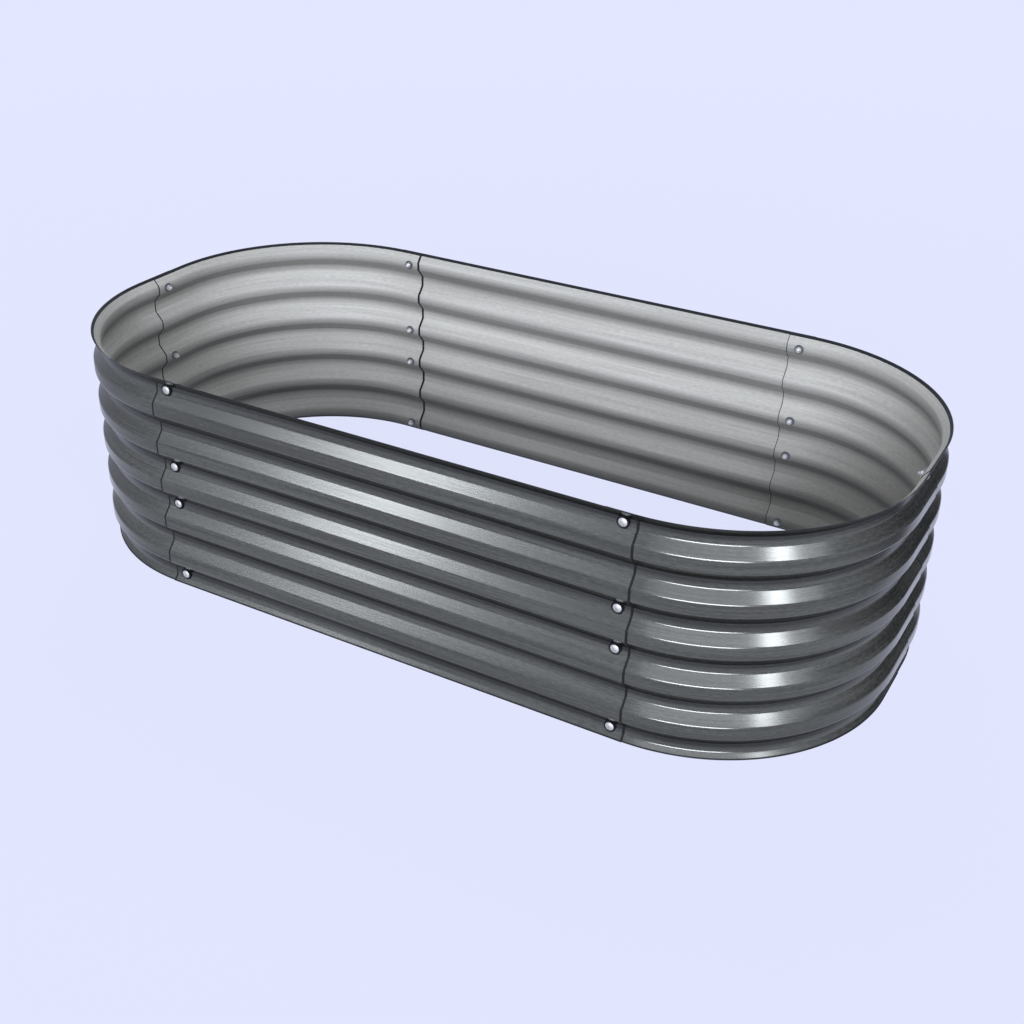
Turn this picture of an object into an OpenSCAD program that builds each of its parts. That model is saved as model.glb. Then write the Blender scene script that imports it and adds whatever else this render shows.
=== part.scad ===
// Raised garden bed of corrugated sheet steel, bolted together from six panels.
// X runs along the length, Y towards the back and Z up. The origin is on the ground, at the middle of the bed.

/* [Bed] */
// Length over the ridges of the two ends, mm
bed_length = 1600; // [1000:10:2400]
// Width over the ridges of the two sides, mm
bed_width = 800; // [500:10:1300]
// Height of the panels, mm
bed_height = 420; // [345:5:800]
// Straight stretch of each end, between its two round corners, mm
end_straight = 120; // [80:5:240]

/* [Sheet] */
// Thickness of the coated sheet, mm
sheet_thickness = 0.8; // [0.6:0.1:1.2]
// Overlap of two neighbouring panels, mm
lap_width = 50; // [40:1:70]
// How far a side panel reaches past the start of the corner's bend, mm
side_reach = 5; // [0:1:20]
// Room between the flanks of two lapped sheets, mm
lap_clearance = 0.05; // [0.02:0.01:0.3]

/* [Corrugation] */
// Distance wanted between grooves, rounded so that whole waves fit the height, mm
groove_spacing = 75; // [64:1:95]
// Depth from ridge to groove, mm
groove_depth = 16; // [10:0.5:18]
// Width of the groove's floor, between the lines of its bends, mm
groove_width = 16.4; // [15:0.1:22]
// Height of the slope between a groove and a ridge, mm
flank_height = 18.7; // [16:0.1:20]
// Height of the lowest groove's middle above the ground, mm
foot_margin = 18.3; // [16:0.1:30]
// Distance from the highest groove's middle to the rim, mm
rim_margin = 25.2; // [16:0.1:30]
// Radius of the bends at the ridges, in the middle of the sheet, mm
ridge_bend = 4; // [2:0.5:7]
// Radius of the bends at the grooves, in the middle of the sheet, mm
groove_bend = 5; // [2:0.5:8]

/* [Bolts] */
// Diameter of the bolt's shank, mm
bolt_diameter = 6; // [5:0.5:8]
// Length of the shank under the head, mm
bolt_length = 16; // [14:1:25]
// Diameter of the domed head, mm
head_diameter = 17; // [14:0.5:18]
// Height of the domed head, mm
head_height = 4.2; // [3:0.1:6]
// Height of the head's straight edge, mm
head_edge = 0.7; // [0.3:0.1:1.2]
// Length of each slot of the cross recess, mm
recess_length = 6.5; // [5:0.5:9]
// Width of each slot of the cross recess, mm
recess_width = 1.2; // [0.8:0.1:1.6]
// Depth of the cross recess, mm
recess_depth = 1.8; // [1:0.1:2.2]

/* [Washers and nuts] */
// Diameter of the sealing washer under the head, mm
seal_diameter = 21; // [19:0.5:23]
// Thickness of the sealing washer on the groove's floor, mm
seal_thickness = 2.6; // [2.4:0.1:3.5]
// Diameter of the flat washer inside, mm
washer_diameter = 18; // [16:0.5:20]
// Thickness of the flat washer inside, mm
washer_thickness = 1.6; // [1:0.1:2]
// Width of the nut across its flats, mm
nut_flats = 10; // [9.5:0.5:14]
// Height of the nut, mm
nut_height = 5; // [4:0.5:6]
// Room round the shank in the panels and washers, measured on the diameter, mm
hole_clearance = 0.6; // [0.3:0.1:1]
// Room round the shank in the nut, measured on the diameter, mm
nut_clearance = 0.2; // [0.1:0.05:0.4]
// Room between the sealing washer and the flanks of its groove, mm
seal_clearance = 0.05; // [0.02:0.01:0.2]

/* [Hidden] */
$fn = 48;
BEND_STEPS = 4;
DOME_STEPS = 6;
CORNER_FACES = 96;
// Every cut runs this far past what it cuts
overrun = 1;

// The corrugation, with the waves that fit between the lowest and the highest groove
flank_angle = atan2(groove_depth, flank_height);
waves = max(3, round((bed_height - foot_margin - rim_margin) / groove_spacing));
wave_pitch = (bed_height - foot_margin - rim_margin) / waves;
BOLT_ROWS = let (inner = floor((waves - 1) / 2)) [0, inner, waves - inner, waves];

// The inner sheet of a lap is moved in until its flanks clear those of the outer sheet
lap_step = (sheet_thickness + lap_clearance) / cos(flank_angle);
// The plan: radius of the corners over the ridges, centres of their bends, and the lengths of the
// flat stretches beside them
corner_radius = (bed_width - end_straight) / 2;
corner_x = bed_length / 2 - corner_radius;
corner_y = bed_width / 2 - lap_step - corner_radius;
side_length = 2 * (corner_x + side_reach);
side_tail = lap_width - side_reach;
end_tail = corner_y + lap_width / 2;
seam_x = side_length / 2 - lap_width / 2;

// Each lap seam: its name, its place on the line of the ridges, and the way it faces
SEAMS = [
    ["front_left", [-seam_x, -bed_width / 2], -90],
    ["front_right", [seam_x, -bed_width / 2], -90],
    ["right_end", [bed_length / 2, 0], 0],
    ["back_right", [seam_x, bed_width / 2], 90],
    ["back_left", [-seam_x, bed_width / 2], 90],
    ["left_end", [-bed_length / 2, 0], 180],
];
FRONT_LEFT = SEAMS[0];
FRONT_RIGHT = SEAMS[1];
RIGHT_END = SEAMS[2];
BACK_RIGHT = SEAMS[3];
BACK_LEFT = SEAMS[4];
LEFT_END = SEAMS[5];

PANELS = [
    "front_side_panel", "back_side_panel",
    "front_left_corner_panel", "front_right_corner_panel",
    "back_right_corner_panel", "back_left_corner_panel",
];
FASTENERS = ["bolts", "seal_washers", "flat_washers", "nuts"];

// The sheet's middle line, in the plane of its outward direction and its height.
// Heading 0 is straight up, and a positive heading leans outward.
function along(heading) = [sin(heading), cos(heading)];
function outward(heading) = [cos(heading), -sin(heading)];

// Points of a bend that rounds the corner of two straight runs, each with its heading
function bend(corner, from, to, radius) =
    let (turn = to - from,
         side = sign(turn),
         start = corner - radius * tan(abs(turn) / 2) * along(from),
         middle = start + side * radius * outward(from))
    [for (i = [0:BEND_STEPS])
        let (heading = from + turn * i / BEND_STEPS)
        [middle - side * radius * outward(heading), heading]];

function groove_height(row) = foot_margin + row * wave_pitch;

// One groove from the ridge below it to the ridge above it
function groove(middle) =
    let (floor_edge = groove_width / 2,
         ridge_edge = floor_edge + flank_height)
    concat(
        bend([0, middle - ridge_edge], 0, -flank_angle, ridge_bend),
        bend([-groove_depth, middle - floor_edge], -flank_angle, 0, groove_bend),
        bend([-groove_depth, middle + floor_edge], 0, flank_angle, groove_bend),
        bend([0, middle + ridge_edge], flank_angle, 0, ridge_bend));

middle_line = concat(
    [[[0, groove_height(0) - wave_pitch / 2], 0]],
    [for (row = [0:waves]) each groove(groove_height(row))],
    [[[0, groove_height(waves) + wave_pitch / 2], 0]]);

// The line moved from the sheet's middle towards the outside, and reckoned from the ridges' outer face
function moved_out(distance) =
    [for (point = middle_line) point[0] + distance * outward(point[1]) - [sheet_thickness / 2, 0]];
function reversed(line) = [for (i = [len(line) - 1:-1:0]) line[i]];

// Cross section of a sheet: 0 is the ridges' outer face, and the ends are cut level
module sheet_section() {
    intersection() {
        polygon(concat(moved_out(sheet_thickness / 2), reversed(moved_out(-sheet_thickness / 2))));
        translate([-2 * groove_depth, 0])
            square([4 * groove_depth, bed_height]);
    }
}

// A flat stretch of panel that runs along +X and faces +Y
module straight_sheet(length) {
    rotate([90, 0, 90])
        linear_extrude(length)
            sheet_section();
}

// A quarter turn of panel from +X to +Y round the origin
module curved_sheet() {
    rotate_extrude(angle = 90, $fn = CORNER_FACES)
        translate([corner_radius, 0])
            sheet_section();
}

// Places its child at a seam, with +X facing out from the ridges' outer face
module at_seam(seam) {
    translate(seam[1])
        rotate(seam[2])
            children();
}

// Places its child on the floor of the groove at each bolt of a seam, with +Z facing out
module at_bolts(seam) {
    at_seam(seam)
        for (row = BOLT_ROWS)
            translate([-groove_depth, 0, groove_height(row)])
                rotate([0, 90, 0])
                    children();
}

module bolt_holes(seam) {
    at_bolts(seam)
        translate([0, 0, -lap_step - sheet_thickness - overrun])
            cylinder(h = lap_step + sheet_thickness + 2 * overrun, d = bolt_diameter + hole_clearance);
}

// The two side panels lap outside the corner panels
module back_side_sheet() {
    translate([-side_length / 2, bed_width / 2, 0])
        straight_sheet(side_length);
}

module front_side_panel() {
    color("dimgray")
        difference() {
            mirror([0, 1, 0])
                back_side_sheet();
            bolt_holes(FRONT_LEFT);
            bolt_holes(FRONT_RIGHT);
        }
}

module back_side_panel() {
    color("gray")
        difference() {
            back_side_sheet();
            bolt_holes(BACK_LEFT);
            bolt_holes(BACK_RIGHT);
        }
}

// A corner panel of the back right quarter: a bend with a flat tail at each end.
// The front panels reach the bed's full length, and the back ones lie a lap step inside them.
module corner_sheet(step_in) {
    translate([corner_x - step_in, corner_y, 0]) {
        curved_sheet();
        translate([-side_tail, corner_radius, 0])
            straight_sheet(side_tail);
        translate([corner_radius, -end_tail, 0])
            mirror([1, -1, 0])
                straight_sheet(end_tail);
    }
}

module front_right_corner_panel() {
    color("slategray")
        difference() {
            mirror([0, 1, 0])
                corner_sheet(0);
            bolt_holes(FRONT_RIGHT);
            bolt_holes(RIGHT_END);
        }
}

module front_left_corner_panel() {
    color("slategray")
        difference() {
            rotate(180)
                corner_sheet(0);
            bolt_holes(FRONT_LEFT);
            bolt_holes(LEFT_END);
        }
}

module back_right_corner_panel() {
    color("lightslategray")
        difference() {
            corner_sheet(lap_step);
            bolt_holes(BACK_RIGHT);
            bolt_holes(RIGHT_END);
        }
}

module back_left_corner_panel() {
    color("lightslategray")
        difference() {
            mirror([1, 0, 0])
                corner_sheet(lap_step);
            bolt_holes(BACK_LEFT);
            bolt_holes(LEFT_END);
        }
}

// Domed head: a straight edge under an arc that passes through the crown
function dome_outline() =
    let (half = head_diameter / 2,
         rise = head_height - head_edge,
         radius = (half * half + rise * rise) / (2 * rise),
         reach = asin(half / radius))
    concat([[0, 0], [half, 0]],
        [for (i = [DOME_STEPS:-1:0])
            let (angle = reach * i / DOME_STEPS)
            [radius * sin(angle), head_height - radius * (1 - cos(angle))]]);

module bolt() {
    difference() {
        rotate_extrude()
            polygon(dome_outline());
        for (turn = [0, 90])
            rotate(turn)
                translate([-recess_length / 2, -recess_width / 2, head_height - recess_depth])
                    cube([recess_length, recess_width, recess_depth + overrun]);
    }
    translate([0, 0, -bolt_length])
        cylinder(h = bolt_length, d = bolt_diameter);
}

module ring(outer, bore, height) {
    difference() {
        cylinder(h = height, d = outer);
        translate([0, 0, -overrun])
            cylinder(h = height + 2 * overrun, d = bore);
    }
}

module seam_bolts(seam) {
    color("gainsboro")
        at_bolts(seam)
            translate([0, 0, seal_thickness])
                bolt();
}

// What lies inside the outer face of the sheet at a seam
module groove_stock() {
    face = moved_out(sheet_thickness / 2 + seal_clearance);
    translate([0, seal_diameter, 0])
        rotate([90, 0, 0])
            linear_extrude(2 * seal_diameter)
                polygon(concat([[-2 * groove_depth, face[0][1]]], face, [[-2 * groove_depth, face[len(face) - 1][1]]]));
}

// The soft washer is pressed into its groove, and takes the shape of the bends beside the floor
module seam_seal_washers(seam) {
    color("black")
        difference() {
            at_bolts(seam)
                ring(seal_diameter, bolt_diameter + hole_clearance, seal_thickness);
            at_seam(seam)
                groove_stock();
        }
}

module seam_flat_washers(seam) {
    color("silver")
        at_bolts(seam)
            translate([0, 0, -lap_step - sheet_thickness - washer_thickness])
                ring(washer_diameter, bolt_diameter + hole_clearance, washer_thickness);
}

module nut() {
    difference() {
        cylinder(h = nut_height, d = nut_flats / cos(30), $fn = 6);
        translate([0, 0, -overrun])
            cylinder(h = nut_height + 2 * overrun, d = bolt_diameter + nut_clearance);
    }
}

module seam_nuts(seam) {
    color("silver")
        at_bolts(seam)
            translate([0, 0, -lap_step - sheet_thickness - washer_thickness - nut_height])
                nut();
}

front_side_panel();
back_side_panel();
front_left_corner_panel();
front_right_corner_panel();
back_right_corner_panel();
back_left_corner_panel();
for (seam = SEAMS) {
    seam_bolts(seam);
    seam_seal_washers(seam);
    seam_flat_washers(seam);
    seam_nuts(seam);
}
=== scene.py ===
import math

import bmesh
import bpy
from mathutils import Matrix, Vector


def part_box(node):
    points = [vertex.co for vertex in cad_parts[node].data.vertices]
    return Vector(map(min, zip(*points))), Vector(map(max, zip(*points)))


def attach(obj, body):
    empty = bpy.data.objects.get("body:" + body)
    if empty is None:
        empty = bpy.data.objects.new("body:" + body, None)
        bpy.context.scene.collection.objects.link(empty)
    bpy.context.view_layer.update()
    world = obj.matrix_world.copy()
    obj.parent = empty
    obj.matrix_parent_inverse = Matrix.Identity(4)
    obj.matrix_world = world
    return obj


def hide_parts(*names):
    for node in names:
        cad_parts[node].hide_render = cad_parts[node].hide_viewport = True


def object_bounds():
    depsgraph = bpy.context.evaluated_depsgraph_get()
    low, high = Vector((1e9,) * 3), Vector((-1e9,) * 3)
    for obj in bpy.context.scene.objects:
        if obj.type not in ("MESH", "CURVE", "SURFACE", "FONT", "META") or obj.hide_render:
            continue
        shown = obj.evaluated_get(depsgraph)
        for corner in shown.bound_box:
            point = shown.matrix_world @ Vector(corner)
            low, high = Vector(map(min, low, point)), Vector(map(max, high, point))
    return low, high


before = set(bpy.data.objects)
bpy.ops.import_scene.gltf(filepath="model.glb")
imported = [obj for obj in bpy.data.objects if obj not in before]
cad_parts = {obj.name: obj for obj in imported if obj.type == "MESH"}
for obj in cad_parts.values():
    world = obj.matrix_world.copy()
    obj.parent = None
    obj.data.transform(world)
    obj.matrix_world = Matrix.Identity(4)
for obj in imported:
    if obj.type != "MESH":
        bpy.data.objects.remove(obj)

bl_info = {
    "name": "Corrugated raised garden bed",
    "version": (1, 0, 0),
    "blender": (4, 5, 0),
    "location": "View3D > Sidebar > Garden bed",
    "description": "Models and finishes a raised garden bed of corrugated sheet steel round its packed parts",
    "category": "Object",
}

CAD_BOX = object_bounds()
MM = 0.001
# The picture that the camera is made for is square, with this many pixels on a side
PICTURE_SIDE = 1024
UP = Vector((0, 0, 1))

# Each lap seam, and the way it faces in degrees from +X
SEAMS = {
    "front_left": -90,
    "front_right": -90,
    "right_end": 0,
    "back_right": 90,
    "back_left": 90,
    "left_end": 180,
}
# Each corner panel: which way it lies along X and along Y, and how wide the painted shadow of the lap is
# along its end beside the bed's side
CORNERS = {
    "front_left_corner": (-1, -1, 2.6 * MM),
    "front_right_corner": (1, -1, 2.6 * MM),
    "back_right_corner": (1, 1, 1.3 * MM),
    "back_left_corner": (-1, 1, 4.5 * MM),
}
# Each side panel, and the way it faces along Y
SIDES = {"front_side": -1, "back_side": 1}
# The number of grooves, and those that hold a bolt, counted from the lowest one
GROOVES = 6
BOLT_GROOVES = (0, 2, 3, 5)
# Where each finish stands in a sheet's list of materials
OUTSIDE, INSIDE, EDGE = range(3)
# Sockets of a Mix node that mixes two colours: both of them and the mixed one
COLOUR_A, COLOUR_B, MIXED = 6, 7, 2

# Each pattern of the coats: its length along the sheet and its width across it, then its noise's detail and
# roughness. The streaks come from the rolling, and the bands are where the coat lies a little thicker. The
# wisps are metal flake in the sprayed skin, coarser than real so that they show
COAT_PATTERNS = {
    "streaks": (260 * MM, 2.2 * MM, 3.0, 0.6),
    "bands": (500 * MM, 14 * MM, 2.0, 0.5),
    "wisps": (12 * MM, 1.6 * MM, 2.0, 0.5),
}
# Where the painted shade along a wave starts and ends turning clear, from its middle, as shares of a slope's
# height
OUTER_SHADE_SHARES = (0.25, 0.65)
INNER_SHADE_SHARES = (0.5, 1.4)

# Each soft box: the azimuth, from the front to the right, and the elevation of its middle, its width and its
# height as seen from the bed, all in degrees, and its radiance in watts per square metre and steradian
SOFT_BOXES = {
    "left_strip": (-39.5, 39.5, 3.2, 9, 25.5),
    "right_strip": (64, 43, 9, 12, 17),
    "right_shoulder": (79, 41, 16, 13, 2),
    "front_box": (20, 18, 38, 14.5, 19.5),
    "top_box": (24, 46, 54, 14, 1.6),
    "left_box": (-95, 14, 40, 28, 0.15),
    "back_box": (-150, 42, 50, 28, 4),
}
# How far the soft boxes stand from the middle of the bed, m
SOFT_BOX_DISTANCE = 30
# Each black net beyond an end of the bed: where it hangs along X, where it starts and ends along Y, its
# height, all in metres, and the share of the light that it takes away where it is thickest
NETS = {
    "right_net": (1.15, -0.35, 2.2, 2, 0.85),
    "left_net": (-1.2, -0.9, 2.2, 2, 0.4),
}
# The stretch along Y over which a net grows thick, its gap over the floor, and half of the floor's width, m
NET_FADE = 0.7
NET_GAP = 0.01
FLOOR_REACH = 40

# How near a vertex counts as on a cut's plane, and the middle of a face as on a line or past it, m
CUT_SLACK = 1e-7
FACE_SLACK = 0.05 * MM
# A sheet's face that looks in or out less squarely than this, where 1 is square, is its cut edge
SIDE_FACING = 0.3


def linear(hex_colour):
    """Turns an sRGB hex colour into linear red, green, blue and alpha."""
    shares = [int(hex_colour[i : i + 2], 16) / 255 for i in (0, 2, 4)]
    return [c / 12.92 if c <= 0.04045 else ((c + 0.055) / 1.055) ** 2.4 for c in shares] + [1.0]


def cad_middle(node):
    """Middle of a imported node's box."""
    low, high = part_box(node)
    return (low + high) / 2


def length(name, default, description):
    """A property for a length in metres."""
    return bpy.props.FloatProperty(
        name=name, default=default, description=description, unit="LENGTH", precision=5
    )


def colour(name, default, description):
    """A property for a colour, whose default is an sRGB hex value."""
    return bpy.props.FloatVectorProperty(
        name=name, default=linear(default), description=description, subtype="COLOR", size=4, min=0, max=1
    )


def angle(name, degrees, description):
    """A property for an angle, whose default is given in degrees."""
    return bpy.props.FloatProperty(
        name=name, default=math.radians(degrees), description=description, unit="ROTATION"
    )


class SheetSizes(bpy.types.PropertyGroup):
    bed_length: length("Bed length", CAD_BOX[1].x - CAD_BOX[0].x, "Length over the ridges of the ends")
    bed_width: length("Bed width", CAD_BOX[1].y - CAD_BOX[0].y, "Width over the ridges of the sides")
    bed_height: length("Bed height", CAD_BOX[1].z - CAD_BOX[0].z, "Height of the panels")
    end_straight: length("End straight", 120 * MM, "Straight stretch of an end between its round corners")
    side_length: length(
        "Side panel length",
        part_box("back_side_panel")[1].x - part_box("back_side_panel")[0].x,
        "Length of each of the two side panels",
    )
    lap_width: length("Lap width", 50 * MM, "Overlap of two neighbouring panels")
    lap_step: length(
        "Lap step",
        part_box("front_right_corner_panel")[1].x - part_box("back_right_corner_panel")[1].x,
        "How far the inner sheet of a lap lies inside the outer one",
    )
    thickness: length("Sheet thickness", 0.8 * MM, "Thickness of the coated sheet")
    groove_depth: length("Groove depth", 16 * MM, "Depth from ridge to groove")
    groove_width: length("Groove width", 16.4 * MM, "Width of the groove's floor")
    flank_height: length("Flank height", 18.7 * MM, "Height of the slope between a groove and a ridge")
    ridge_bend: length("Ridge bend", 6.5 * MM, "Bend radius at the ridges, in the middle of the sheet")
    groove_bend: length("Groove bend", 6.5 * MM, "Bend radius at the grooves, in the middle of the sheet")
    # Widths of the dark edge colour that runs from each cut edge onto the faces: painted shadow of the laps,
    # of the rim and of the foot
    edge_shadow_band: length("Edge band", 2 * MM, "Width of the dark coat that wraps over each cut edge")
    end_shadow_band: length("End band", 3.6 * MM, "Width of the same coat along the side panels' ends")
    rim_shadow_band: length("Rim band", 4.5 * MM, "Width of the same coat along the top of the inner face")
    foot_shadow_band: length("Foot band", 7 * MM, "Width of the same coat along the foot of the inner face")
    bend_steps: bpy.props.IntProperty(name="Bend steps", default=6, min=1, description="Faces round a bend")
    corner_steps: bpy.props.IntProperty(
        name="Corner steps", default=80, min=8, description="Faces along each round corner"
    )


class FastenerSizes(bpy.types.PropertyGroup):
    bolt_diameter: length("Bolt diameter", 6 * MM, "Diameter over the thread")
    bolt_core: length("Bolt core", 5 * MM, "Diameter at the root of the thread")
    bolt_length: length("Bolt length", 16 * MM, "Length under the head")
    thread_pitch: length("Thread pitch", 1 * MM, "Rise of one turn of the thread")
    head_diameter: length("Head diameter", 15 * MM, "Diameter of the domed head")
    head_height: length("Head height", 2.8 * MM, "Height of the domed head")
    head_edge: length("Head edge", 0.7 * MM, "Height of the head's straight edge")
    recess_length: length("Recess length", 6.5 * MM, "Length of each slot of the cross recess")
    recess_width: length("Recess width", 1.2 * MM, "Width of each slot of the cross recess")
    recess_depth: length("Recess depth", 1.8 * MM, "Depth of the cross recess")
    seal_thickness: length("Seal thickness", 2.6 * MM, "Height of the sealing washer under the head")
    washer_diameter: length("Washer diameter", 18 * MM, "Diameter of the flat washer inside")
    washer_thickness: length("Washer thickness", 1.6 * MM, "Thickness of the flat washer inside")
    nut_flats: length("Nut flats", 10 * MM, "Width of the nut across its flats")
    nut_height: length("Nut height", 5 * MM, "Height of the nut")


class FinishColours(bpy.types.PropertyGroup):
    coat: colour("Outside coat", "66675F", "Charcoal metallic coat of the outer faces")
    coat_dark: colour("Coat streaks", "585952", "Darker rolling streaks in the outer coat")
    backing: colour("Backing coat", "C7C6BA", "Pale grey coat of the inner faces")
    backing_dark: colour("Backing streaks", "B2B1A6", "Darker streaks in the inner coat")
    # Painted shade along the waves: its dark tone, and how far it darkens the outer coat in the creases over
    # the grooves and the inner coat on the slopes that look down
    band: colour("Dark bands", "3A3B3A", "Dark tone that the coats take on in a band along each wave")
    outer_painted_shade: bpy.props.FloatProperty(
        name="Outer darkening", default=0.8, subtype="FACTOR", min=0, max=1,
        description="How far the outer coat turns dark in the creases over its grooves",
    )
    inner_painted_shade: bpy.props.FloatProperty(
        name="Inner darkening", default=0.5, subtype="FACTOR", min=0, max=1,
        description="How far the inner coat turns dark on the faces that look down",
    )
    # The cut edges' dark colour, also laid as painted shadow beside them and along the laps
    edge: colour("Cut edge", "1B1C1D", "Coat that wraps over the cut edges")
    zinc: colour("Zinc plate", "D2D2CC", "Bright zinc on bolts and nuts")
    dull_zinc: colour("Dull zinc", "6F7375", "Dulled zinc on the flat washers")
    rubber: colour("Rubber", "111213", "Sealing washers")
    floor: colour("Floor", "E3E7FF", "Floor, and the background behind it")


class StudioSetup(bpy.types.PropertyGroup):
    azimuth: angle("Camera azimuth", 29.23, "Turn of the camera from the front towards the right")
    elevation: angle("Camera elevation", 28.726, "Height of the camera above the horizon")
    roll: angle("Camera roll", 1.139, "Turn of the camera about its line of sight")
    distance: length("Camera distance", 2.511, "From the camera to its target")
    target: bpy.props.FloatVectorProperty(
        name="Camera target", default=(0.088, -0.105, 0.21), description="Point on the line of sight",
        subtype="TRANSLATION",
    )
    focal_pixels: bpy.props.FloatProperty(
        name="Focal length", default=1398.5, subtype="PIXEL",
        description="Focal length in pixels of the picture",
    )
    centre_pixels: bpy.props.FloatVectorProperty(
        name="Line of sight", default=(507.967, 493.66), size=2,
        description="Where the line of sight meets the picture, in pixels",
    )
    lamp_colour: colour("Lamp colour", "E8ECFF", "Light of the soft boxes")
    net_colour: colour("Net colour", "0A0A0A", "Threads of the black nets")
    sky_colour: colour("Room colour", "FFFFFF", "Colour of the room's even light")
    sky_strength: bpy.props.FloatProperty(
        name="Room light", default=0.08, description="Strength of the room's even light"
    )
    floor_glow: bpy.props.FloatProperty(
        name="Floor glow", default=0.93, subtype="FACTOR", min=0, max=1,
        description="Share of the floor's colour that shadows leave alone",
    )
    floor_bounce: bpy.props.FloatProperty(
        name="Floor bounce", default=0.15, subtype="FACTOR", min=0, max=1,
        description="Share of its light that the floor throws back at the bed",
    )
    fade_start: length("Fade start", 1.5, "Where the floor starts to fade into the background")
    fade_end: length("Fade end", 5, "Where the floor has faded into the background")


def add_node(tree, kind, links=None, values=None, **fields):
    """Adds a node with its links, its constant inputs and its fields, and returns it. A socket goes by its
    name or its number."""
    made = tree.nodes.new(kind)
    for name, value in fields.items():
        setattr(made, name, value)
    for socket, value in (values or {}).items():
        made.inputs[socket].default_value = value
    for socket, source in (links or {}).items():
        tree.links.new(source, made.inputs[socket])
    return made


def new_material(name):
    """An empty node material and its tree."""
    material = bpy.data.materials.new(name)
    material.use_nodes = True
    material.node_tree.nodes.clear()
    return material, material.node_tree


def clear_of_painted_shade(tree, place, lowest, reaches, darkening):
    """1 away from the painted shade along the waves, and less in it. lowest is the height of the middle of
    the lowest band of painted shade, reaches are the distances from it where the painted shade starts and
    ends turning clear, and darkening is how dark the painted shade is."""
    heights = groove_heights()
    height = add_node(tree, "ShaderNodeSeparateXYZ", {0: place.outputs[0]})
    from_lowest = add_node(
        tree, "ShaderNodeMath", {0: height.outputs["Y"]}, {1: lowest}, operation="SUBTRACT"
    )
    away = add_node(
        tree, "ShaderNodeMath", {0: from_lowest.outputs[0]}, {1: (heights[1] - heights[0]) / 2},
        operation="PINGPONG",
    )
    return add_node(
        tree, "ShaderNodeMapRange", {"Value": away.outputs[0]},
        {"From Min": reaches[0], "From Max": reaches[1], "To Min": 1 - darkening, "To Max": 1.0},
        interpolation_type="SMOOTHSTEP",
    )


def rolled_coat(name, plain, streak, painted_shade_band, metallic, roughness, specular):
    """Rolled sheet with a sprayed finish: streaks along the sheet, and painted shade in a band along each
    wave. The band argument holds what the painted-shade mask takes, and metallic the share of metal in a
    streak and in the plain coat."""
    material, tree = new_material(name)
    place = add_node(tree, "ShaderNodeUVMap", uv_map="sheet")
    patterns = {}
    for pattern, (long, wide, detail, coarseness) in COAT_PATTERNS.items():
        stretched = add_node(
            tree, "ShaderNodeMapping", {"Vector": place.outputs[0]}, {"Scale": (1 / long, 1 / wide, 1)}
        )
        patterns[pattern] = add_node(
            tree, "ShaderNodeTexNoise", {"Vector": stretched.outputs[0]},
            {"Scale": 1.0, "Detail": detail, "Roughness": coarseness}, noise_dimensions="2D",
        ).outputs["Fac"]
    long_ones = add_node(
        tree, "ShaderNodeMath", {0: patterns["streaks"], 1: patterns["bands"]}, operation="ADD"
    )
    all_three = add_node(
        tree, "ShaderNodeMath", {0: long_ones.outputs[0], 1: patterns["wisps"]}, operation="ADD"
    )
    # Each pattern lies round 0.5, so the two long ones lie round 1 and all three round 1.5, give or take this
    swing = 0.3
    plainness = add_node(
        tree, "ShaderNodeMapRange", {"Value": all_three.outputs[0]},
        {"From Min": 1.5 - swing, "From Max": 1.5 + swing, "To Min": 0.0, "To Max": 1.0},
    )
    tone = add_node(
        tree, "ShaderNodeMix", {0: plainness.outputs[0]}, {COLOUR_A: streak, COLOUR_B: plain},
        data_type="RGBA",
    )
    # Painted shade: the tone turns towards the dark band colour along each wave
    clear = clear_of_painted_shade(tree, place, *painted_shade_band)
    painted_shade_tone = add_node(
        tree, "ShaderNodeMix", {0: clear.outputs[0], COLOUR_B: tone.outputs[MIXED]},
        {COLOUR_A: bpy.context.scene.bed_colours.band}, data_type="RGBA",
    )
    # A streak is more of a mirror and scatters less, so it shows on dark faces and hardly in a lamp's image
    metal = add_node(
        tree, "ShaderNodeMapRange", {"Value": plainness.outputs[0]},
        {"To Min": metallic[0], "To Max": metallic[1]},
    )
    roughness_swing = 0.01
    rough = add_node(
        tree, "ShaderNodeMapRange", {"Value": long_ones.outputs[0]},
        {
            "From Min": 1 - swing, "From Max": 1 + swing,
            "To Min": roughness + roughness_swing, "To Max": roughness - roughness_swing,
        },
    )
    bump = add_node(
        tree, "ShaderNodeBump", {"Height": patterns["wisps"]}, {"Strength": 0.006, "Distance": 0.06 * MM}
    )
    shader = add_node(
        tree, "ShaderNodeBsdfPrincipled",
        {
            "Base Color": painted_shade_tone.outputs[MIXED], "Metallic": metal.outputs[0],
            "Roughness": rough.outputs[0], "Normal": bump.outputs[0],
        },
        {"Specular IOR Level": specular},
    )
    add_node(tree, "ShaderNodeOutputMaterial", {"Surface": shader.outputs[0]})
    return material


def charcoal_coat(colours):
    """Metallic polyester coil coating: a dark mirror with soft edges, bright only where it meets a lamp."""
    sheet = bpy.context.scene.bed_sheet
    # Painted shade lies in the crease at the top of each groove
    lowest = groove_heights()[0] + sheet.groove_width / 2
    reaches = [share * sheet.flank_height for share in OUTER_SHADE_SHARES]
    return rolled_coat(
        "charcoal_metallic_coil_coat", colours.coat, colours.coat_dark,
        (lowest, reaches, colours.outer_painted_shade), metallic=(1, 0.65), roughness=0.2, specular=0.5,
    )


def backing_coat(colours):
    """Pale epoxy backing coat: satin grey that scatters most of its light, so the inside looks soft."""
    sheet = bpy.context.scene.bed_sheet
    # Painted shade lies on the slopes that look down
    lowest = groove_heights()[0] - (sheet.groove_width + sheet.flank_height) / 2
    reaches = [share * sheet.flank_height for share in INNER_SHADE_SHARES]
    return rolled_coat(
        "pale_backing_coat", colours.backing, colours.backing_dark,
        (lowest, reaches, colours.inner_painted_shade), metallic=(0, 0), roughness=0.5, specular=0.25,
    )


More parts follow.
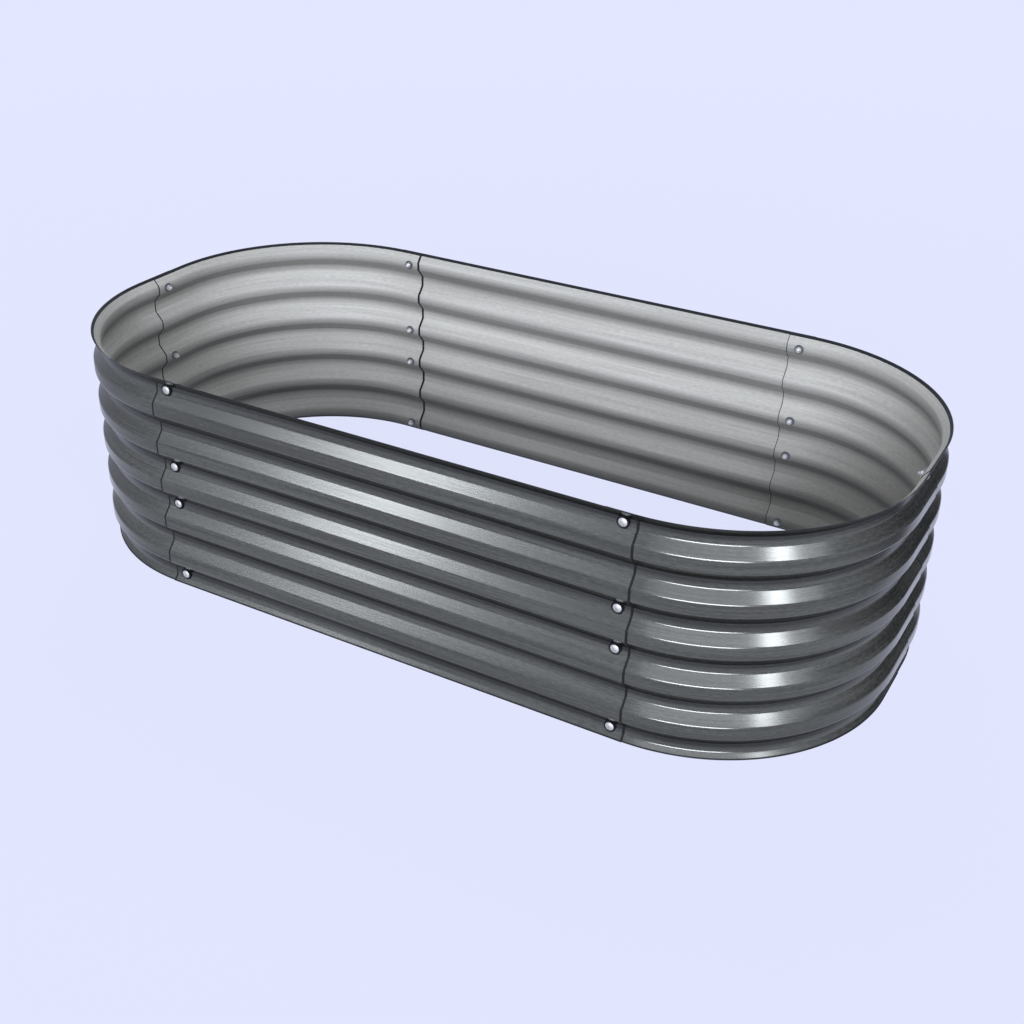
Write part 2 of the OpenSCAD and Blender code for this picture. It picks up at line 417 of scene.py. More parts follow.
def dark_edge_and_shadow(colours):
    """Sheared steel edge, and the painted shadow beside the cut edges and in the laps: nearly black, with a
    fine broken shine.
    """
    material, tree = new_material("cut_edge_and_painted_shadow")
    place = add_node(tree, "ShaderNodeTexCoord")
    # Shear marks 3 mm apart
    marks = add_node(
        tree, "ShaderNodeTexNoise", {"Vector": place.outputs["Object"]},
        {"Scale": 1 / (3 * MM), "Detail": 2.0},
    )
    rough = add_node(
        tree, "ShaderNodeMapRange", {"Value": marks.outputs["Fac"]}, {"To Min": 0.4, "To Max": 0.65}
    )
    shader = add_node(
        tree, "ShaderNodeBsdfPrincipled", {"Roughness": rough.outputs[0]},
        {"Base Color": colours.edge, "Specular IOR Level": 0.2},
    )
    add_node(tree, "ShaderNodeOutputMaterial", {"Surface": shader.outputs[0]})
    return material


def plated(name, plain, smoothest, roughest):
    """Zinc plate with the faint cloudy bloom that the plating bath leaves in its shine."""
    material, tree = new_material(name)
    place = add_node(tree, "ShaderNodeTexCoord")
    # Clouds about 4 mm across
    clouds = add_node(
        tree, "ShaderNodeTexNoise", {"Vector": place.outputs["Object"]},
        {"Scale": 1 / (4 * MM), "Detail": 3.0},
    )
    # The share of the plain colour that is left in the darkest cloud
    darkest_share = 0.86
    darkest = [darkest_share * c for c in plain[:3]] + [1.0]
    tone = add_node(
        tree, "ShaderNodeMix", {0: clouds.outputs["Fac"]}, {COLOUR_A: darkest, COLOUR_B: plain},
        data_type="RGBA",
    )
    rough = add_node(
        tree, "ShaderNodeMapRange", {"Value": clouds.outputs["Fac"]},
        {"To Min": smoothest, "To Max": roughest},
    )
    shader = add_node(
        tree, "ShaderNodeBsdfPrincipled",
        {"Base Color": tone.outputs[MIXED], "Roughness": rough.outputs[0]}, {"Metallic": 0.9},
    )
    add_node(tree, "ShaderNodeOutputMaterial", {"Surface": shader.outputs[0]})
    return material


def zinc_plate(colours):
    """Bright zinc plate: pale metal with a soft shine."""
    return plated("bright_zinc_plate", colours.zinc, smoothest=0.45, roughest=0.6)


def dull_zinc_plate(colours):
    """Weathered zinc: grey and satin, so the washers stay quiet under the bright nuts."""
    return plated("dull_zinc_plate", colours.dull_zinc, smoothest=0.4, roughest=0.6)


def sealing_rubber(colours):
    """Moulded EPDM rubber: dull black with a fine matt grain that breaks up its sheen."""
    material, tree = new_material("moulded_sealing_rubber")
    place = add_node(tree, "ShaderNodeTexCoord")
    # Grain of the mould, 0.8 mm
    grain = add_node(
        tree, "ShaderNodeTexNoise", {"Vector": place.outputs["Object"]},
        {"Scale": 1 / (0.8 * MM), "Detail": 2.0},
    )
    rough = add_node(
        tree, "ShaderNodeMapRange", {"Value": grain.outputs["Fac"]}, {"To Min": 0.6, "To Max": 0.8}
    )
    bump = add_node(
        tree, "ShaderNodeBump", {"Height": grain.outputs["Fac"]}, {"Strength": 0.3, "Distance": 0.1 * MM}
    )
    shader = add_node(
        tree, "ShaderNodeBsdfPrincipled", {"Roughness": rough.outputs[0], "Normal": bump.outputs[0]},
        {"Base Color": colours.rubber, "Specular IOR Level": 0.2},
    )
    add_node(tree, "ShaderNodeOutputMaterial", {"Surface": shader.outputs[0]})
    return material


def get_material(name, make):
    """The material of that name, made once and shared."""
    return bpy.data.materials.get(name) or make(bpy.context.scene.bed_colours)


def sheet_materials():
    """A sheet's materials, in the order of OUTSIDE, INSIDE and EDGE."""
    return (
        get_material("charcoal_metallic_coil_coat", charcoal_coat),
        get_material("pale_backing_coat", backing_coat),
        get_material("cut_edge_and_painted_shadow", dark_edge_and_shadow),
    )


def add_object(name, data):
    """Puts a mesh, a lamp or a camera in the scene."""
    made = bpy.data.objects.new(name, data)
    bpy.context.scene.collection.objects.link(made)
    return made


def add_mesh(name, bm, materials):
    """Turns a bmesh into a mesh object with the given materials."""
    mesh = bpy.data.meshes.new(name)
    bm.to_mesh(mesh)
    bm.free()
    for material in materials:
        mesh.materials.append(material)
    return add_object(name, mesh)


def new_piece(name, bm, materials, nodes):
    """Makes a finished mesh piece that rides on the bed and stands for the named nodes."""
    piece = add_mesh(name, bm, materials)
    piece.modifiers.new("even_normals", "WEIGHTED_NORMAL").keep_sharp = True
    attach(piece, "root")
    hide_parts(*nodes)


def shade(bm, sharp_degrees):
    """Smooth faces, with an edge kept sharp where its faces turn by more than the given angle."""
    for face in bm.faces:
        face.smooth = True
    for edge in bm.edges:
        edge.smooth = edge.calc_face_angle(0) < math.radians(sharp_degrees)


def moved_faces(bm, faces, step):
    """Extrudes faces along a step and returns the new faces at its end."""
    made = bmesh.ops.extrude_face_region(bm, geom=faces)["geom"]
    corners = [g for g in made if isinstance(g, bmesh.types.BMVert)]
    bmesh.ops.translate(bm, verts=corners, vec=step)
    return [g for g in made if isinstance(g, bmesh.types.BMFace)]


def groove_heights():
    """Heights of the grooves' middles, from the lowest and the highest row of flat washers."""
    radius = bpy.context.scene.bed_fasteners.washer_diameter / 2
    low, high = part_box("front_left_flat_washers")
    lowest = low.z + radius
    highest = high.z - radius
    return [lowest + (highest - lowest) * row / (GROOVES - 1) for row in range(GROOVES)]


def sheet_section(bm, x, ridge_y):
    """The corrugated sheet's section in the plane of x, facing +Y. It is drawn with sharp corners, then its
    bends are rounded, and it is cut level at the foot, at the rim and where its finish changes."""
    sheet = bpy.context.scene.bed_sheet
    heights = groove_heights()
    pitch = heights[1] - heights[0]
    flank_angle = math.atan2(sheet.groove_depth, sheet.flank_height)
    half = sheet.thickness / 2
    tangent = math.tan(flank_angle / 2)
    lines = []
    for side in (1, -1):
        # side 1 is the outer face and -1 the inner one, each half a sheet from the middle line
        shift = side * half * tangent
        line = [(0, heights[0] - pitch / 2, 0)]
        for middle in heights:
            floor_edge = sheet.groove_width / 2 - shift
            ridge_edge = sheet.groove_width / 2 + sheet.flank_height - shift
            ridge_radius = sheet.ridge_bend + side * half
            groove_radius = sheet.groove_bend - side * half
            line += [
                (0, middle - ridge_edge, ridge_radius),
                (-sheet.groove_depth, middle - floor_edge, groove_radius),
                (-sheet.groove_depth, middle + floor_edge, groove_radius),
                (0, middle + ridge_edge, ridge_radius),
            ]
        line.append((0, heights[-1] + pitch / 2, 0))
        lines.append([(out - half + side * half, z, radius) for out, z, radius in line])
    outline = lines[0] + lines[1][::-1]
    corners = [bm.verts.new((x, ridge_y + out, z)) for out, z, _ in outline]
    bm.faces.new(corners)
    for radius in sorted({radius for _, _, radius in outline if radius}):
        bent = [v for v, point in zip(corners, outline) if point[2] == radius]
        bmesh.ops.bevel(
            bm, geom=bent, offset=radius * tangent, offset_type="OFFSET", affect="VERTICES",
            segments=sheet.bend_steps, profile=0.5, material=-1, clamp_overlap=False,
        )
    rim = sheet.bed_height
    # Each cut's height, and whether it takes away what lies below it or above it
    cuts = [(0, True, False), (rim, False, True)]
    cuts += [
        (height, False, False)
        for height in (sheet.edge_shadow_band, sheet.foot_shadow_band, rim - sheet.rim_shadow_band, rim - sheet.edge_shadow_band)
    ]
    for height, clear_below, clear_above in cuts:
        bmesh.ops.bisect_plane(
            bm, geom=bm.verts[:] + bm.edges[:] + bm.faces[:], plane_co=(0, 0, height), plane_no=UP,
            dist=CUT_SLACK, clear_inner=clear_below, clear_outer=clear_above,
        )
    return bm.faces[:]


def finish_sheet(bm, place_of, ends):
    """Gives each face its coat, its place along the sheet in a UV map, and its shading. place_of returns the
    way the sheet faces at a point and how far along it that is, and ends are the places along it where the
    painted shadow along its two ends begins."""
    sheet = bpy.context.scene.bed_sheet
    bmesh.ops.recalc_face_normals(bm, faces=bm.faces[:])
    uv = bm.loops.layers.uv.new("sheet")
    for face in bm.faces:
        outward, along = place_of(face.calc_center_median())
        facing = face.normal.dot(outward)
        height = face.calc_center_median().z
        # Faces in a band along the foot, the rim or an end take the dark edge material as painted shadow
        foot, rim = (sheet.edge_shadow_band, sheet.edge_shadow_band) if facing > 0 else (sheet.foot_shadow_band, sheet.rim_shadow_band)
        in_painted_shadow = (
            height < foot + FACE_SLACK
            or height > sheet.bed_height - rim - FACE_SLACK
            or along < ends[0] + FACE_SLACK
            or along > ends[1] - FACE_SLACK
        )
        if in_painted_shadow or abs(facing) < SIDE_FACING:
            face.material_index = EDGE
        else:
            face.material_index = OUTSIDE if facing > 0 else INSIDE
        for loop in face.loops:
            loop[uv].uv = (place_of(loop.vert.co)[1], loop.vert.co.z)
    shade(bm, sharp_degrees=35)


def side_panel(name, facing):
    """A straight panel, outside the corner panels at both of its laps."""
    sheet = bpy.context.scene.bed_sheet
    half = sheet.side_length / 2
    # The ends carry a band of painted shadow where the panel laps over a corner
    plain = half - sheet.end_shadow_band
    bm = bmesh.new()
    faces = sheet_section(bm, -half, sheet.bed_width / 2)
    for step in (sheet.end_shadow_band, 2 * plain, sheet.end_shadow_band):
        faces = moved_faces(bm, faces, (step, 0, 0))
    bmesh.ops.scale(bm, verts=bm.verts[:], vec=(1, facing, 1))
    finish_sheet(bm, lambda point: (Vector((0, facing, 0)), point.x), (-plain, plain))
    new_piece(name + "_sheet", bm, sheet_materials(), [name + "_panel"])


def corner_panel(name, way_x, way_y, side_shadow_band):
    """A corner panel: a straight tail, a quarter turn and a longer straight tail across the bed's end."""
    sheet = bpy.context.scene.bed_sheet
    radius = (sheet.bed_width - sheet.end_straight) / 2
    step_in = sheet.lap_step if way_y > 0 else 0
    middle_x = sheet.bed_length / 2 - radius - step_in
    middle_y = sheet.bed_width / 2 - sheet.lap_step - radius
    tail_start = sheet.side_length / 2 - sheet.lap_width
    side_tail = middle_x - tail_start
    end_tail = middle_y + sheet.lap_width / 2
    bm = bmesh.new()
    faces = sheet_section(bm, tail_start, middle_y + radius)
    # Painted shadow of the lap along the tail's end, as wide as given for this corner
    for step in (side_shadow_band, side_tail - side_shadow_band):
        faces = moved_faces(bm, faces, (step, 0, 0))
    turned = bmesh.ops.spin(
        bm, geom=faces, cent=(middle_x, middle_y, 0), axis=UP, dvec=(0, 0, 0), angle=-math.pi / 2,
        steps=sheet.corner_steps, use_merge=False, use_duplicate=False,
    )["geom_last"]
    faces = [g for g in turned if isinstance(g, bmesh.types.BMFace)]
    for step in (end_tail - sheet.edge_shadow_band, sheet.edge_shadow_band):
        faces = moved_faces(bm, faces, (0, -step, 0))
    bmesh.ops.scale(bm, verts=bm.verts[:], vec=(way_x, way_y, 1))

    def place_of(point):
        dx, dy = point.x * way_x - middle_x, point.y * way_y - middle_y
        if dx <= 0:
            return Vector((0, way_y, 0)), dx
        if dy <= 0:
            return Vector((way_x, 0, 0)), radius * math.pi / 2 - dy
        return Vector((way_x * dx, way_y * dy, 0)).normalized(), radius * math.atan2(dx, dy)

    finish_sheet(bm, place_of, (side_shadow_band - side_tail, radius * math.pi / 2 + end_tail - sheet.edge_shadow_band))
    new_piece(name + "_sheet", bm, sheet_materials(), [name + "_panel"])


def bolt_places(seam):
    """One matrix for each bolt of a seam: its origin is on the groove's floor and its Z points out."""
    sheet = bpy.context.scene.bed_sheet
    facing = Matrix.Rotation(math.radians(SEAMS[seam]), 4, "Z")
    outward = facing @ Vector((1, 0, 0))
    middle = cad_middle(seam + "_flat_washers")
    across = Vector((middle.x * abs(outward.y), middle.y * abs(outward.x), 0))
    reach = sheet.bed_width / 2 if abs(outward.y) > 0.5 else sheet.bed_length / 2
    floor = across + outward * (reach - sheet.groove_depth)
    heights = groove_heights()
    return [
        Matrix.Translation(floor + UP * heights[row]) @ facing @ Matrix.Rotation(math.pi / 2, 4, "Y")
        for row in BOLT_GROOVES
    ]


def repeated(unit, places, turn_step):
    """One bmesh with a copy of the unit at each place, each turned a little further about its own axis."""
    mesh = bpy.data.meshes.new("unit")
    unit.to_mesh(mesh)
    unit.free()
    bm = bmesh.new()
    for count, place in enumerate(places, start=1):
        known = set(bm.verts)
        bm.from_mesh(mesh)
        fresh = [v for v in bm.verts if v not in known]
        turned = place @ Matrix.Rotation(turn_step * count, 4, "Z")
        bmesh.ops.transform(bm, matrix=turned, verts=fresh)
    bpy.data.meshes.remove(mesh)
    return bm


def domed_head(bm, sizes):
    """A domed head with a cross recess, from a grid that is drawn round, domed and pressed in."""
    radius = sizes.head_diameter / 2
    columns = 11
    rounding = 0.3 * MM
    # The recess narrows to this share of its size at its floor
    floor_share = 0.8
    bmesh.ops.create_grid(bm, x_segments=columns, y_segments=columns, size=1)
    slot_half = sizes.recess_width / 2 / radius
    slot_end = sizes.recess_length / 2 / radius
    # Grid lines beside the middle are moved to the sides and the ends of the recess
    moved = {1: slot_half, 3: (slot_half + slot_end) / 2, 5: slot_end}
    rise = sizes.head_height - sizes.head_edge
    ball = (radius * radius + rise * rise) / (2 * rise)
    for v in bm.verts:
        x, y = (
            math.copysign(moved.get(round(abs(c) * columns), abs(c)), c) for c in (v.co.x, v.co.y)
        )
        round_x = radius * x * math.sqrt(1 - y * y / 2)
        round_y = radius * y * math.sqrt(1 - x * x / 2)
        sink = ball - math.sqrt(ball * ball - round_x * round_x - round_y * round_y)
        v.co = (round_x, round_y, sizes.head_height - sink)
    # The recess takes the faces on the two middle lines, out to its ends
    cross = [
        face for face in bm.faces
        if min(abs(c) for c in face.calc_center_median().xy) < FACE_SLACK
        and face.calc_center_median().xy.length < radius * slot_end
    ]
    pressed = bmesh.ops.extrude_face_region(bm, geom=cross)["geom"]
    bmesh.ops.delete(bm, geom=cross, context="FACES_ONLY")
    floor = [g for g in pressed if isinstance(g, bmesh.types.BMVert)]
    bmesh.ops.translate(bm, verts=floor, vec=(0, 0, -sizes.recess_depth))
    bmesh.ops.scale(bm, verts=floor, vec=(floor_share, floor_share, 1))
    rim = [e for e in bm.edges if e.is_boundary]
    edge = bmesh.ops.extrude_edge_only(bm, edges=rim)["geom"]
    for g in edge:
        if isinstance(g, bmesh.types.BMVert):
            g.co.z = 0
    low = [g for g in edge if isinstance(g, bmesh.types.BMEdge) and g.is_boundary]
    bmesh.ops.bevel(
        bm, geom=rim, offset=rounding, offset_type="OFFSET", affect="EDGES", segments=2, profile=0.5,
        material=-1,
    )
    bmesh.ops.holes_fill(bm, edges=[e for e in low if e.is_valid])


def threaded_shank(bm, sizes):
    """The shank with a chamfered end, and a helical ridge over the stretch that shows."""
    core = sizes.bolt_core / 2
    chamfer = 0.6 * MM
    turns, steps_per_turn = 6, 18
    # Where the ridge starts above the shank's end, and how deep its foot lies in the core
    start_gap, foot_depth = 0.9 * MM, 0.15 * MM
    # Half of the ridge's width at its foot, as a share of the pitch
    half_foot_share = 0.42
    made = bmesh.ops.create_cone(
        bm, cap_ends=True, segments=20, radius1=core, radius2=core, depth=sizes.bolt_length,
        matrix=Matrix.Translation((0, 0, -sizes.bolt_length / 2)),
    )
    tip = [
        e for e in {e for v in made["verts"] for e in v.link_edges}
        if all(v.co.z < chamfer - sizes.bolt_length for v in e.verts)
    ]
    bmesh.ops.bevel(
        bm, geom=tip, offset=chamfer, offset_type="OFFSET", affect="EDGES", segments=1, profile=0.5,
        material=-1,
    )
    pitch = sizes.thread_pitch
    steps = turns * steps_per_turn
    start = start_gap - sizes.bolt_length
    foot, crest = core - foot_depth, sizes.bolt_diameter / 2
    half_foot = half_foot_share * pitch
    profile = [(foot, start - half_foot), (crest, start), (foot, start + half_foot)]
    corners = [bm.verts.new((x, 0, z)) for x, z in profile]
    sides = [bm.edges.new((corners[i], corners[(i + 1) % 3])) for i in range(3)]
    made = bmesh.ops.spin(
        bm, geom=corners + sides, cent=(0, 0, 0), axis=UP, dvec=(0, 0, pitch * turns / steps),
        angle=2 * math.pi * turns, steps=steps, use_merge=False, use_duplicate=False,
    )["geom_last"]
    last = [g for g in made if isinstance(g, bmesh.types.BMEdge)]
    bmesh.ops.holes_fill(bm, edges=sides + last)


def bolt_unit(sizes):
    """A bolt along Z, whose head stands on its sealing washer and so above the groove's floor."""
    bm = bmesh.new()
    domed_head(bm, sizes)
    threaded_shank(bm, sizes)
    bmesh.ops.translate(bm, verts=bm.verts[:], vec=(0, 0, sizes.seal_thickness))
    bmesh.ops.recalc_face_normals(bm, faces=bm.faces[:])
    shade(bm, sharp_degrees=32)
    return bm


def nut_unit(sizes, lap_depth):
    """A hexagon nut with chamfered corners and a countersunk bore, bridged from rings."""
    flat = sizes.nut_flats / 2
    clearance, sunk = 0.1 * MM, 0.4 * MM
    bore = sizes.bolt_diameter / 2 + clearance
    # The round face inside the chamfer, as a share of the width across the flats
    face_share = 0.96
    face_round = face_share * flat
    top = sizes.nut_height
    # Half of a side's turn, which is also the slope of the chamfer
    half_side = math.pi / 6
    bm = bmesh.new()

    def ring(reach, height, hexagon=False):
        made = bmesh.ops.create_circle(bm, segments=36, radius=reach)["verts"]
        for v in made:
            v.co.z = height
            if hexagon:
                turn = math.atan2(v.co.y, v.co.x)
                across = (turn + half_side) % (2 * half_side) - half_side
                v.co.xy *= 1 / math.cos(across)
                # The chamfer is a cone, so it reaches further down at the corners
                drop = (v.co.xy.length - face_round) * math.tan(half_side)
                v.co.z += drop if height < top / 2 else -drop
        return list({e for v in made for e in v.link_edges})

    rings = [
        ring(bore, sunk), ring(bore + sunk, 0), ring(face_round, 0), ring(flat, 0, True),
        ring(flat, top, True), ring(face_round, top), ring(bore + sunk, top), ring(bore, top - sunk),
    ]
    for one, other in zip(rings, rings[1:] + rings[:1]):
        bmesh.ops.bridge_loops(bm, edges=one + other)
    bmesh.ops.translate(
        bm, verts=bm.verts[:], vec=(0, 0, -lap_depth - sizes.washer_thickness - sizes.nut_height)
    )
    bmesh.ops.recalc_face_normals(bm, faces=bm.faces[:])
    shade(bm, sharp_degrees=25)
    return bm


def direction(azimuth, elevation):
    """Unit vector towards an azimuth from the front to the right and an elevation, both in degrees."""
    a, e = math.radians(azimuth), math.radians(elevation)
    return Vector((math.sin(a) * math.cos(e), -math.cos(a) * math.cos(e), math.sin(e)))


def add_soft_box(studio, name, azimuth, elevation, wide, high, radiance):
    """A rectangular lamp that faces the middle of the bed. As seen from there it fills the given angles, in
    degrees."""
    lamp = bpy.data.lights.new(name, "AREA")
    lamp.shape = "RECTANGLE"
    lamp.size = 2 * SOFT_BOX_DISTANCE * math.tan(math.radians(wide) / 2)
    lamp.size_y = 2 * SOFT_BOX_DISTANCE * math.tan(math.radians(high) / 2)
    lamp.energy = math.pi * radiance * lamp.size * lamp.size_y
    lamp.color = studio.lamp_colour[:3]
    holder = add_object(name, lamp)
    holder.visible_camera = False
    outward = direction(azimuth, elevation)
    holder.location = (CAD_BOX[0] + CAD_BOX[1]) / 2 + SOFT_BOX_DISTANCE * outward
    holder.rotation_euler = (-outward).to_track_quat("-Z", "Y").to_euler()


def hang_net(studio, name, x, start, end, height, density):
    """A black net beyond an end of the bed, which grows from thin to thick towards the back. It only shows in
    reflections, where it dims what that end mirrors."""
    material, tree = new_material(name)
    place = add_node(tree, "ShaderNodeTexCoord")
    way = add_node(tree, "ShaderNodeSeparateXYZ", {0: place.outputs["Object"]})
    thickness = add_node(
        tree, "ShaderNodeMapRange", {"Value": way.outputs["Y"]},
        {"From Min": start, "From Max": start + NET_FADE, "To Min": 0.0, "To Max": density},
        interpolation_type="SMOOTHSTEP",
    )
    holes = add_node(tree, "ShaderNodeBsdfTransparent")
    threads = add_node(tree, "ShaderNodeBsdfDiffuse", values={"Color": studio.net_colour})
    weave = add_node(
        tree, "ShaderNodeMixShader", {0: thickness.outputs[0], 1: holes.outputs[0], 2: threads.outputs[0]}
    )
    add_node(tree, "ShaderNodeOutputMaterial", {"Surface": weave.outputs[0]})
    bm = bmesh.new()
    bmesh.ops.create_grid(bm, x_segments=1, y_segments=1, size=0.5)
    bmesh.ops.rotate(bm, verts=bm.verts[:], matrix=Matrix.Rotation(math.pi / 2, 3, "Y"))
    bmesh.ops.scale(bm, verts=bm.verts[:], vec=(1, end - start, height))
    bmesh.ops.translate(bm, verts=bm.verts[:], vec=(x, (start + end) / 2, height / 2 + NET_GAP))
    net = add_mesh(name, bm, [material])
    for ray in ("camera", "diffuse", "transmission", "shadow"):
        setattr(net, "visible_" + ray, False)


def backdrop_rays(tree):
    """1 for rays that should see the plain background: the camera's, and those off or through a surface."""
    path = add_node(tree, "ShaderNodeLightPath")
    seen = add_node(
        tree, "ShaderNodeMath",
        {0: path.outputs["Is Camera Ray"], 1: path.outputs["Is Glossy Ray"]}, operation="MAXIMUM",
    )
    return add_node(
        tree, "ShaderNodeMath",
        {0: seen.outputs[0], 1: path.outputs["Is Transmission Ray"]}, operation="MAXIMUM",
    ).outputs[0]


def floor_paint(colours, studio):
    """Matt studio paper: it shows its own colour, and the shadow lies softly over it."""
    material, tree = new_material("matt_studio_paper")
    place = add_node(tree, "ShaderNodeTexCoord")
    # Paper fibres 2 mm apart, which only show close up
    fibres = add_node(
        tree, "ShaderNodeTexNoise", {"Vector": place.outputs["Object"]},
        {"Scale": 1 / (2 * MM), "Detail": 1.0},
    )
    bump = add_node(
        tree, "ShaderNodeBump", {"Height": fibres.outputs["Fac"]}, {"Strength": 0.05, "Distance": 0.1 * MM}
    )
    path = add_node(tree, "ShaderNodeLightPath")
    dim = [studio.floor_bounce * c for c in colours.floor[:3]] + [1.0]
    tone = add_node(
        tree, "ShaderNodeMix", {0: path.outputs["Is Diffuse Ray"]},
        {COLOUR_A: colours.floor, COLOUR_B: dim}, data_type="RGBA",
    )
    paper = add_node(
        tree, "ShaderNodeBsdfDiffuse", {"Normal": bump.outputs[0], "Color": tone.outputs[MIXED]}
    )
    glow = add_node(tree, "ShaderNodeEmission", values={"Color": colours.floor, "Strength": 1.0})
    # Away from the bed the floor fades into the background, so that no horizon shows
    reach = add_node(tree, "ShaderNodeVectorMath", {0: place.outputs["Object"]}, operation="LENGTH")
    fade = add_node(
        tree, "ShaderNodeMapRange", {"Value": reach.outputs["Value"]},
        {
            "From Min": studio.fade_start, "From Max": studio.fade_end,
            "To Min": studio.floor_glow, "To Max": 1.0,
        },
        interpolation_type="SMOOTHSTEP",
    )
    share = add_node(
        tree, "ShaderNodeMath", {0: backdrop_rays(tree), 1: fade.outputs[0]}, operation="MULTIPLY"
    )
    mixed = add_node(
        tree, "ShaderNodeMixShader", {0: share.outputs[0], 1: paper.outputs[0], 2: glow.outputs[0]}
    )
    add_node(tree, "ShaderNodeOutputMaterial", {"Surface": mixed.outputs[0]})
    return material


def make_world(colours, studio):
    """The plain background, and the even light of a studio round it."""
    world = bpy.data.worlds.new("studio")
    bpy.context.scene.world = world
    world.use_nodes = True
    tree = world.node_tree
    tree.nodes.clear()
    light = add_node(
        tree, "ShaderNodeBackground", values={"Color": studio.sky_colour, "Strength": studio.sky_strength}
    )
    plain = add_node(tree, "ShaderNodeBackground", values={"Color": colours.floor, "Strength": 1.0})
    mixed = add_node(
        tree, "ShaderNodeMixShader", {0: backdrop_rays(tree), 1: light.outputs[0], 2: plain.outputs[0]}
    )
    add_node(tree, "ShaderNodeOutputWorld", {"Surface": mixed.outputs[0]})


def make_camera(studio):
    """The camera, turned about its line of sight, whose picture is shifted to where that line meets it."""
    back = direction(math.degrees(studio.azimuth), math.degrees(studio.elevation))
    right = (-back).cross(UP).normalized()
    up = right.cross(-back)
    roll = studio.roll
    turned_right = math.cos(roll) * right + math.sin(roll) * up
    turned_up = -math.sin(roll) * right + math.cos(roll) * up
    lens = bpy.data.cameras.new("camera")
    lens.lens = studio.focal_pixels / PICTURE_SIDE * lens.sensor_width
    lens.shift_x = 0.5 - studio.centre_pixels[0] / PICTURE_SIDE
    lens.shift_y = studio.centre_pixels[1] / PICTURE_SIDE - 0.5
    camera = add_object("camera", lens)
    place = Matrix((turned_right, turned_up, back)).transposed().to_4x4()
    place.translation = Vector(studio.target) + studio.distance * back
    camera.matrix_world = place
    bpy.context.scene.camera = camera


class GARDENBED_OT_side_panels(bpy.types.Operator):
    """Model the two straight corrugated side panels"""

    bl_idname = "garden_bed.side_panels"
    bl_label = "Side panels"

    def execute(self, context):
        for name, facing in SIDES.items():
            side_panel(name, facing)
        return {"FINISHED"}


class GARDENBED_OT_corner_panels(bpy.types.Operator):
    """Model the four rounded corrugated corner panels"""

    bl_idname = "garden_bed.corner_panels"
    bl_label = "Corner panels"

    def execute(self, context):
        for name, (way_x, way_y, side_shadow_band) in CORNERS.items():
            corner_panel(name, way_x, way_y, side_shadow_band)
        return {"FINISHED"}


class GARDENBED_OT_bolts(bpy.types.Operator):
    """Model the domed bolts of each seam, with cross recess and thread"""

    bl_idname = "garden_bed.bolts"
    bl_label = "Bolts"

    def execute(self, context):
        zinc = get_material("bright_zinc_plate", zinc_plate)
        for seam in SEAMS:
            unit = bolt_unit(context.scene.bed_fasteners)
            bm = repeated(unit, bolt_places(seam), turn_step=math.radians(37))
            new_piece(seam + "_domed_bolts", bm, [zinc], [seam + "_bolts"])
        return {"FINISHED"}


class GARDENBED_OT_nuts(bpy.types.Operator):
    """Model the chamfered nuts of each seam"""

    bl_idname = "garden_bed.nuts"
    bl_label = "Nuts"

    def execute(self, context):
        sheet = context.scene.bed_sheet
        zinc = get_material("bright_zinc_plate", zinc_plate)
        for seam in SEAMS:
            unit = nut_unit(context.scene.bed_fasteners, sheet.lap_step + sheet.thickness)
            bm = repeated(unit, bolt_places(seam), turn_step=math.radians(23))
            new_piece(seam + "_hexagon_nuts", bm, [zinc], [seam + "_nuts"])
        return {"FINISHED"}


class GARDENBED_OT_washers(bpy.types.Operator):
    """Finish the flat washers and the sealing washers, whose shapes are right as they are"""

    bl_idname = "garden_bed.washers"
    bl_label = "Washers"

    def execute(self, context):
        finishes = {
            "_flat_washers": get_material("dull_zinc_plate", dull_zinc_plate),
            "_seal_washers": get_material("moulded_sealing_rubber", sealing_rubber),
        }
        for seam in SEAMS:
            for kind, material in finishes.items():
                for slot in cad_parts[seam + kind].material_slots:
                    slot.material = material
        return {"FINISHED"}


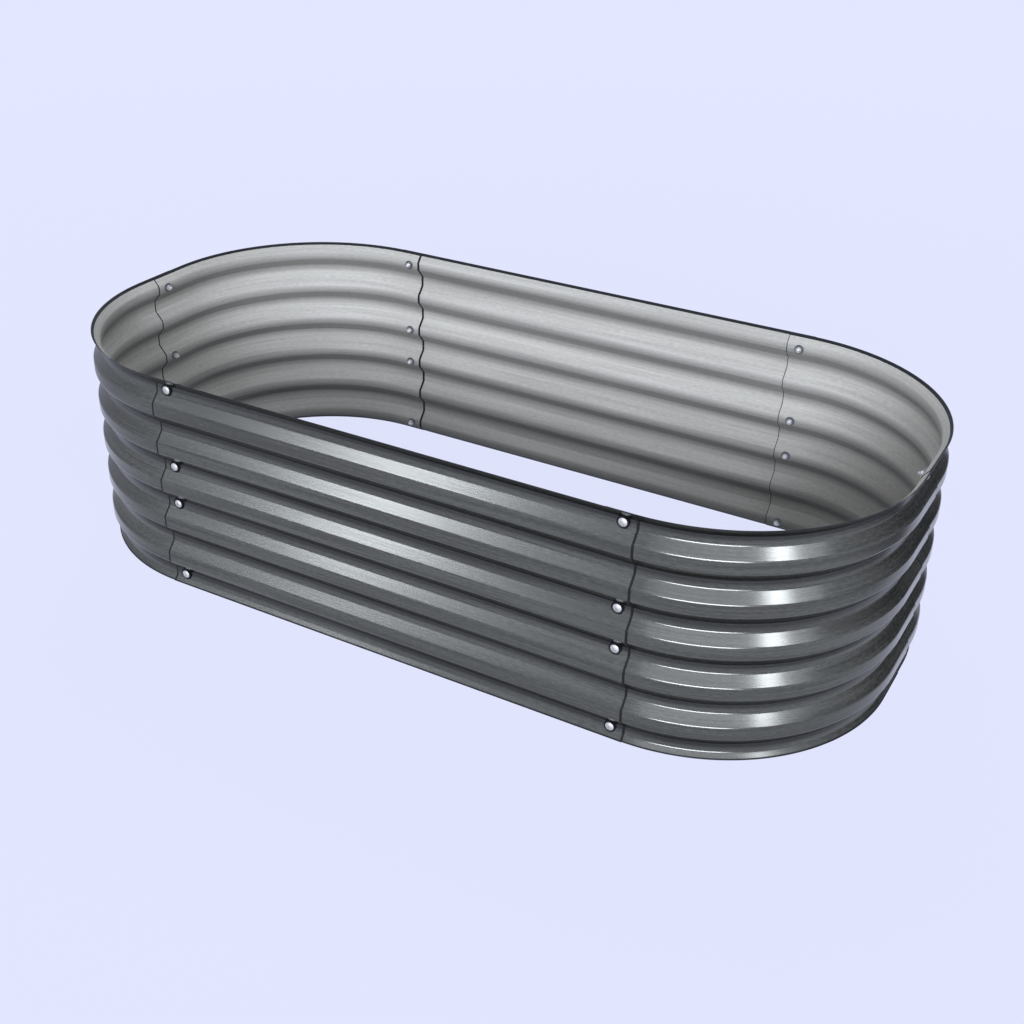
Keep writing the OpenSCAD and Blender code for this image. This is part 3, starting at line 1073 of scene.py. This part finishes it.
class GARDENBED_OT_stage(bpy.types.Operator):
    """Set up the floor, the background, the nets, the soft boxes and the camera"""

    bl_idname = "garden_bed.stage"
    bl_label = "Stage"

    def execute(self, context):
        colours, studio = context.scene.bed_colours, context.scene.bed_studio
        bm = bmesh.new()
        bmesh.ops.create_grid(bm, x_segments=4, y_segments=4, size=FLOOR_REACH)
        floor = add_mesh("floor", bm, [floor_paint(colours, studio)])
        make_world(colours, studio)
        for name, net in NETS.items():
            hang_net(studio, name, *net)
        for name, box in SOFT_BOXES.items():
            add_soft_box(studio, name, *box)
        make_camera(studio)
        context.scene.view_settings.view_transform = "Standard"
        return {"FINISHED"}


STEPS = (
    GARDENBED_OT_side_panels, GARDENBED_OT_corner_panels, GARDENBED_OT_bolts, GARDENBED_OT_nuts,
    GARDENBED_OT_washers, GARDENBED_OT_stage,
)
GROUPS = {
    "bed_sheet": SheetSizes,
    "bed_fasteners": FastenerSizes,
    "bed_colours": FinishColours,
    "bed_studio": StudioSetup,
}


class GARDENBED_PT_sidebar(bpy.types.Panel):
    """Lists the bed's sizes and colours, and the steps that make it"""

    bl_idname = "GARDENBED_PT_sidebar"
    bl_label = "Garden bed"
    bl_space_type = "VIEW_3D"
    bl_region_type = "UI"
    bl_category = "Garden bed"

    def draw(self, context):
        for step in STEPS:
            self.layout.operator(step.bl_idname)
        for name, group in GROUPS.items():
            box = self.layout.box()
            for prop in group.__annotations__:
                box.prop(getattr(context.scene, name), prop)


CLASSES = (*GROUPS.values(), *STEPS, GARDENBED_PT_sidebar)


def register():
    for cls in CLASSES:
        bpy.utils.register_class(cls)
    for name, group in GROUPS.items():
        setattr(bpy.types.Scene, name, bpy.props.PointerProperty(type=group))


def unregister():
    for name in GROUPS:
        delattr(bpy.types.Scene, name)
    for cls in reversed(CLASSES):
        bpy.utils.unregister_class(cls)


def main():
    """Makes the bed and its stage."""
    register()
    bpy.ops.garden_bed.side_panels()
    bpy.ops.garden_bed.corner_panels()
    bpy.ops.garden_bed.bolts()
    bpy.ops.garden_bed.nuts()
    bpy.ops.garden_bed.washers()
    bpy.ops.garden_bed.stage()


if __name__ == "__main__":
    main()
